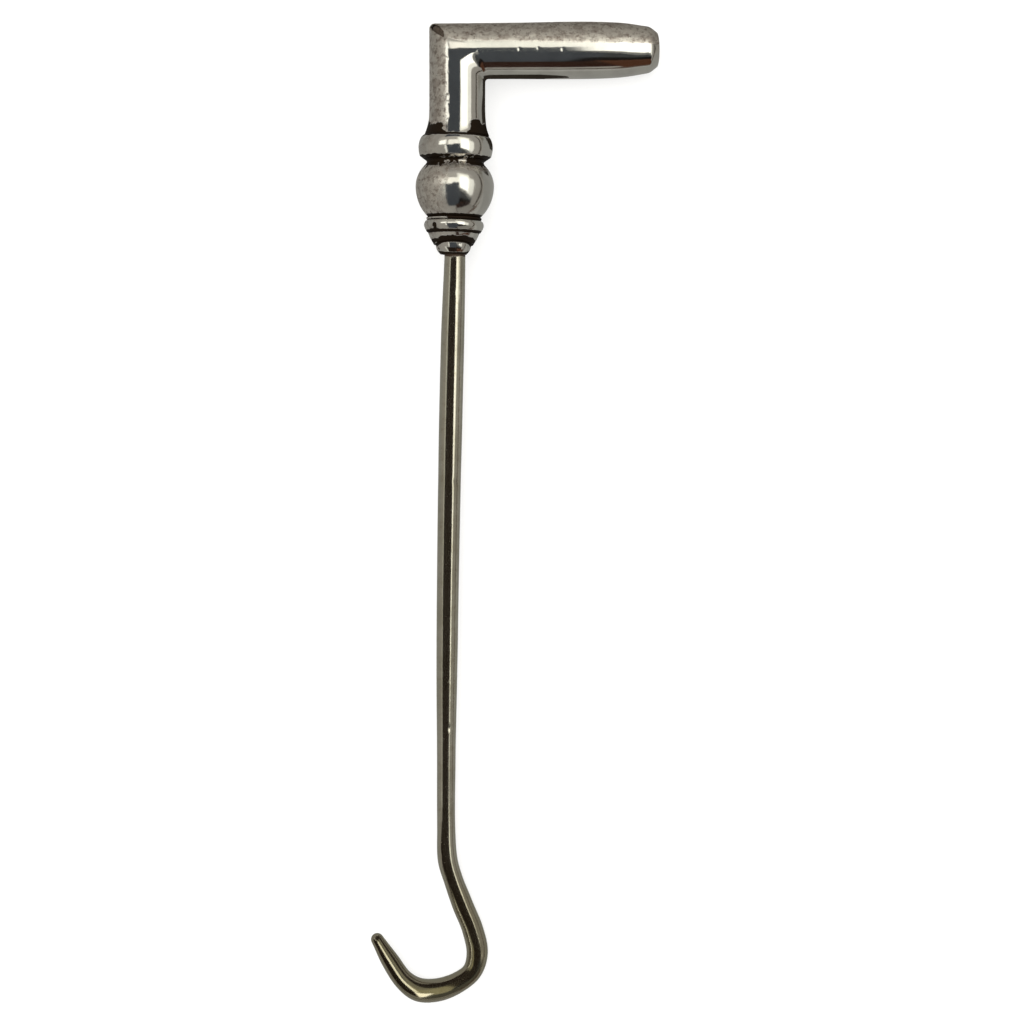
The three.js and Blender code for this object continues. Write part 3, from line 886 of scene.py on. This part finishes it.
# ---------------------------------------------------------------- pitch

RIDGE_ROUNDING = 0.23
RIDGE_HALF_WIDTH = 0.64
PITCH_SIDES = 80
PITCH_RINGS = 26
PITCH_DEPTH = 1.2


def under_the_ridge(along, across, inset):
    """A place this far under the shell's surface, by its angle along the ridge and its way across."""
    radius = ARM_RADIUS - inset
    out, up = radius * math.cos(along), radius * math.sin(along)
    slant = math.sqrt(2) * abs(across)
    pull = RIDGE_ROUNDING / math.sqrt(2) * max(0, 1 - slant / RIDGE_HALF_WIDTH) ** 2
    if across > 0:
        return (-out + slant + pull, out - pull, up)
    return (-out + pull, out - slant - pull, up)


def pitch_ring(share, inset):
    """A ring round the hole's middle, this share of the lump's reach away."""
    ring = []
    for turn in np.linspace(0, 2 * math.pi, PITCH_SIDES, endpoint=False):
        along = HOLE_ANGLE + HOLE_REACH * 1.3 * share * math.cos(turn)
        across = HOLE_OFFSET + HOLE_HALF_WIDTH * 1.7 * share * math.sin(turn)
        ring.append(under_the_ridge(along, across, inset))
    return ring


def pitch_in_hole():
    """The pitch that shows in the worn hole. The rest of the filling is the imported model's own."""
    rings = [pitch_ring(share, 0.12 + 0.2 * share ** 2) for share in np.linspace(0.03, 1, PITCH_RINGS)]
    rings += [pitch_ring(share, PITCH_DEPTH) for share in (0.97, 0.6, 0.03)]
    made = skin("pitch_in_hole", np.array(rings), capped=True)
    points = coordinates(made)
    dent(made, noise_at(points, 0.3, 14) * 0.07 + noise_at(points, 0.12, 15) * 0.025)
    set_coordinates(made, to_model(coordinates(made)))
    made.data.materials.append(PITCH)
    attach(made, "root")
    filling = frame["nodes"]["pitch_filling"]
    filling.data.materials.clear()
    filling.data.materials.append(PITCH)


crook_shell()
arm_cap()
upper_collar()
knop()
lower_collar()
ferrule()
sleeve()
steel_hook()
pitch_in_hole()


# ---------------------------------------------------------------- stage
#
# The metal is polished, so what it reflects makes its look. Plain cards that only reflections see stand
# far round the object, as windows, walls and dark things, and a few lie close over one piece of it. The
# stage is placed in the model's frame, in millimetres.

ROOM = (0.37, 0.355, 0.33)  # grey of the room, which the metal reflects where no card is
FLOOR_GREY = 0.35
FLOOR_GLOW = 0.68
FLOOR_HALF = 1500
BACKDROP_RADIUS = 1400
BACKDROP_WHITE = (0.95, 0.95, 0.95)

PHONE = (0.062, 0.07, 0.082)
SHADE = (0.02, 0.013, 0.009)
RED_BROWN = (0.09, 0.038, 0.021)


def stage_mesh(name, points):
    """A flat face of the stage."""
    mesh = bpy.data.meshes.new(name)
    mesh.from_pydata([Vector(p) * MM for p in points], [], [tuple(range(len(points)))])
    made = bpy.data.objects.new(name, mesh)
    bpy.context.scene.collection.objects.link(made)
    return made


def soft_edges(tree, soft):
    """Rises from 0 at a card's edges to 1 at this share of its width inside them."""
    where = tree.nodes.new("ShaderNodeTexCoord")
    split = tree.nodes.new("ShaderNodeSeparateXYZ")
    both = tree.nodes.new("ShaderNodeMath")
    both.operation = "MULTIPLY"
    tree.links.new(where.outputs["Generated"], split.inputs[0])
    for index, axis in enumerate("XY"):
        fold = tree.nodes.new("ShaderNodeMath")
        fold.operation = "PINGPONG"
        fold.inputs[1].default_value = 0.5
        rise = tree.nodes.new("ShaderNodeMapRange")
        rise.interpolation_type = "SMOOTHSTEP"
        rise.inputs["From Max"].default_value = soft
        tree.links.new(split.outputs[axis], fold.inputs[0])
        tree.links.new(fold.outputs[0], rise.inputs["Value"])
        tree.links.new(rise.outputs[0], both.inputs[index])
    return both.outputs[0]


def glow(made, colour, soft=0.0, around=ROOM):
    """Gives a face an even light of its own, which may fade near its edges to the colour around it."""
    material = bpy.data.materials.new(made.name)
    material.use_nodes = True
    tree = material.node_tree
    tree.nodes.remove(tree.nodes["Principled BSDF"])
    light = tree.nodes.new("ShaderNodeEmission")
    light.inputs["Color"].default_value = (*colour, 1)
    tree.links.new(light.outputs[0], tree.nodes["Material Output"].inputs["Surface"])
    if soft > 0:
        mix = tree.nodes.new("ShaderNodeMix")
        mix.data_type = "RGBA"
        mix.inputs[6].default_value = (*around, 1)
        mix.inputs[7].default_value = (*colour, 1)
        tree.links.new(soft_edges(tree, soft), mix.inputs[0])
        tree.links.new(mix.outputs[2], light.inputs["Color"])
    made.data.materials.append(material)


def card(name, points, *light):
    """A glowing card that only reflections see."""
    made = stage_mesh(name, points)
    glow(made, *light)
    made.visible_camera = False
    made.visible_diffuse = False
    made.visible_shadow = False


def box(x0, x1, y0, y1):
    return [(x0, y0), (x1, y0), (x1, y1), (x0, y1)]


def overhead(corners, height):
    """A level outline far overhead, from its corners' angles off straight up, seen from the origin."""
    x_and_y = np.tan(np.radians(corners)) * height
    return [(x, y, height) for x, y in x_and_y.tolist()]


def level(corners, height):
    return [(x, y, height) for x, y in corners]


def upright(corners, y):
    return [(x, y, z) for x, z in corners]


def floor():
    made = stage_mesh("floor", level(box(-FLOOR_HALF, FLOOR_HALF, -FLOOR_HALF, FLOOR_HALF), 0))
    material = bpy.data.materials.new("pale floor")
    material.use_nodes = True
    shader = material.node_tree.nodes["Principled BSDF"]
    shader.inputs["Base Color"].default_value = (FLOOR_GREY, FLOOR_GREY, FLOOR_GREY, 1)
    shader.inputs["Roughness"].default_value = 0.8
    shader.inputs["Emission Color"].default_value = (1, 1, 0.99, 1)
    shader.inputs["Emission Strength"].default_value = FLOOR_GLOW
    made.data.materials.append(material)
    made.visible_glossy = False


def backdrop():
    """A pale dome that only the camera sees, so that low views have a plain background."""
    bpy.ops.mesh.primitive_uv_sphere_add(radius=BACKDROP_RADIUS * MM, segments=48, ring_count=24)
    made = bpy.context.object
    made.name = "backdrop"
    glow(made, BACKDROP_WHITE)
    made.visible_diffuse = False
    made.visible_glossy = False
    made.visible_shadow = False


def world():
    made = bpy.data.worlds.new("grey room")
    bpy.context.scene.world = made
    made.use_nodes = True
    made.node_tree.nodes["Background"].inputs["Color"].default_value = (*ROOM, 1)


# Name, corners in degrees, height, colour, then how soft the edges are and the colour they fade to.
OVERHEAD_CARDS = [
    ("window_right", box(8, 46, -48, 48), 300, (2.2, 2.2, 2.07), 0.3, (1.2, 1.2, 1.1)),
    ("window_right_pane", box(44, 60, -40, 40), 303, (1.15, 1.15, 1.08), 0.15),
    ("window_top", box(-26, 24, 3, 34), 301, (1.4, 1.38, 1.27), 0.12),
    ("window_left", box(-52, -26, 8, 36), 302, (1.7, 1.7, 1.6), 0.15),
    ("window_left_edge", box(-33, -26, -30, 10), 302, (1.3, 1.3, 1.2), 0.15),
    ("phone", [(-28, -57), (20, -57), (20, -16), (15, -4), (14, 13), (-6, 13), (-6, 9), (-28, 9)],
     298, PHONE),
    ("hand", [(14, -6), (30, -20), (42, -32), (62, -52), (62, -62), (18, -62)],
     298.5, (0.05, 0.053, 0.056)),
    ("hand_edge", [(14, -1), (34, -12), (48, -30), (62, -46), (62, -54), (42, -36), (18, -24)],
     299, (0.24, 0.24, 0.23)),
    ("dark_wedge", [(18, -31), (38, -39), (60, -52), (66, -64), (18, -52)], 297, (0.006, 0.004, 0.003)),
    ("ceiling", box(-60, 60, 31, 56), 304, (0.52, 0.5, 0.46), 0.2),
]

# Name, corners as (x, z), y and colour.
UPRIGHT_CARDS = [
    ("dark_wood", box(20, 83, 42, 175), -200, (0.034, 0.016, 0.011)),
    ("brown_wood", [(83, 4), (230, 4), (215, 140), (136, 180), (83, 200)], -200, RED_BROWN),
    ("dark_line", box(-300, 400, -60, 15), -331, (0.05, 0.04, 0.03)),
    ("knop_wall", box(-5.1, -0.2, 6.2, 8.5), 26, (0.28, 0.27, 0.25)),
    ("knop_dark", box(-4.2, -0.6, 8.5, 10.2), 26, (0.02, 0.012, 0.01)),
]

# Name, corners as (x, y), height and colour: close over the neck and the steel, then on the table.
LEVEL_CARDS = [
    ("neck_shade", [(-7.8, 37.9), (-4.9, 37.9), (-4.9, 44.2), (-3.2, 44.5), (-3.2, 45.3), (-5.2, 45.6),
                    (-7.8, 45.4)], 8.6, PHONE),
    ("shank_shade", [(-7.6, 25.4), (-5.2, 25.4), (-5, 8), (-4.7, 0), (-4.6, -10), (-5.1, -26),
                     (-4, -33), (-2.9, -37), (-1.2, -40.5), (0.2, -44.6), (-1.6, -47.4),
                     (-3.6, -48.6), (-5.2, -47.2), (-6.8, -44.4), (-10.5, -42.6), (-17, -41),
                     (-17, -34), (-10.8, -31), (-10.2, -10)], 6, SHADE),
    ("shank_gleam", [(-8.6, 25.4), (-7.6, 25.4), (-10.2, -10), (-10.8, -30), (-12, -30),
                     (-11.2, -10)], 6, (0.75, 0.76, 0.7)),
    ("shank_wall", [(-3.6, 21), (-0.6, 21), (0.5, -28), (5, -44), (0.6, -46), (-1.9, -35), (-3.5, -28),
                    (-3.9, -10)], 6, (0.34, 0.33, 0.3)),
    ("hook_wall", [(-17, -40), (-9, -40), (-4, -44.6), (-13, -44.6)], 6.02, (0.2, 0.19, 0.135)),
    ("hook_gold", [(-12, -49.5), (-4.6, -49.5), (-5.2, -44.6), (-9, -44.6)], 6.02, (0.44, 0.41, 0.26)),
    ("hook_grey", [(-9, -49.5), (12, -48), (12, -62), (-10, -62)], 6.04, (0.1, 0.097, 0.078)),
    ("hook_gleam", [(-10.4, -48.6), (-7.2, -48.2), (-8.2, -51.5), (-10.2, -54)], 5.9, (2.4, 2.35, 2.1)),
    ("tip_gleam", [(-14.3, -43), (-13.2, -42.1), (-9.4, -47.7), (-10.3, -48.7)], 5.9, (1.9, 1.88, 1.65)),
    ("tip_wall", [(-12.9, -41.6), (-9.1, -46.6), (-7.3, -45.3), (-11.1, -40.2)], 5.9, (0.3, 0.29, 0.23)),
    ("tip_shade", [(-14.3, -43.1), (-10.4, -48.7), (-10.3, -54), (-25, -62), (-25, -40)], 6, SHADE),
    ("table", box(-70, 70, -95, 95), 0.02, (0.34, 0.34, 0.325)),
    ("brown_table", [(22, -60), (70, -60), (45, 8), (26, 4)], 0.05, RED_BROWN),
    # A dark sheet on the table under the arm and beside the neck: painted shadow, for the flanks to
    # reflect.
    ("painted_shadow_under_arm", [(-2.7, 36), (3, 36), (5.5, 39), (5.5, 41), (3, 42), (3, 47), (-2.7, 47)], 0.04,
     (0.03, 0.025, 0.02)),
    ("dim_table", box(-70, 70, 49, 95), 0.04, (0.25, 0.24, 0.22)),
    ("bright_table", box(3, 70, -95, 22), 0.03, (0.42, 0.42, 0.4)),
]

floor()
backdrop()
world()
for name, corners, height, *light in OVERHEAD_CARDS:
    card(name, overhead(corners, height), *light)
for name, corners, y, colour in UPRIGHT_CARDS:
    card(name, upright(corners, y), colour)
for name, corners, height, colour in LEVEL_CARDS:
    card(name, level(corners, height), colour)
card("dark_side", [(330, -300, 16), (330, 400, 16), (330, 400, 50), (330, -300, 50)], (0.06, 0.05, 0.04))


# ---------------------------------------------------------------- light and camera, in metres

KEY_PLACE = (-0.1, 0.12, 0.9)
KEY_SIZE = 1.2
KEY_WATTS = 14
CAMERA_PLACE = (-0.000275, 0.000167, 0.260)  # straight above the object, looking down
CAMERA_LENS = 91.8


def soft_key():
    """A broad soft light from above, which the metal doesn't reflect."""
    light = bpy.data.lights.new("soft key", "AREA")
    light.shape = "SQUARE"
    light.size = KEY_SIZE
    light.energy = KEY_WATTS
    lamp = bpy.data.objects.new("soft key", light)
    lamp.location = KEY_PLACE
    lamp.rotation_euler = Vector(KEY_PLACE).to_track_quat("Z", "Y").to_euler()
    lamp.visible_glossy = False
    lamp.visible_camera = False
    bpy.context.scene.collection.objects.link(lamp)


def camera():
    lens = bpy.data.cameras.new("camera")
    lens.sensor_width = 36
    lens.lens = CAMERA_LENS
    lens.clip_start = 0.01
    made = bpy.data.objects.new("camera", lens)
    made.location = CAMERA_PLACE
    bpy.context.scene.collection.objects.link(made)
    bpy.context.scene.camera = made


soft_key()
camera()
bpy.context.scene.view_settings.view_transform = "Standard"
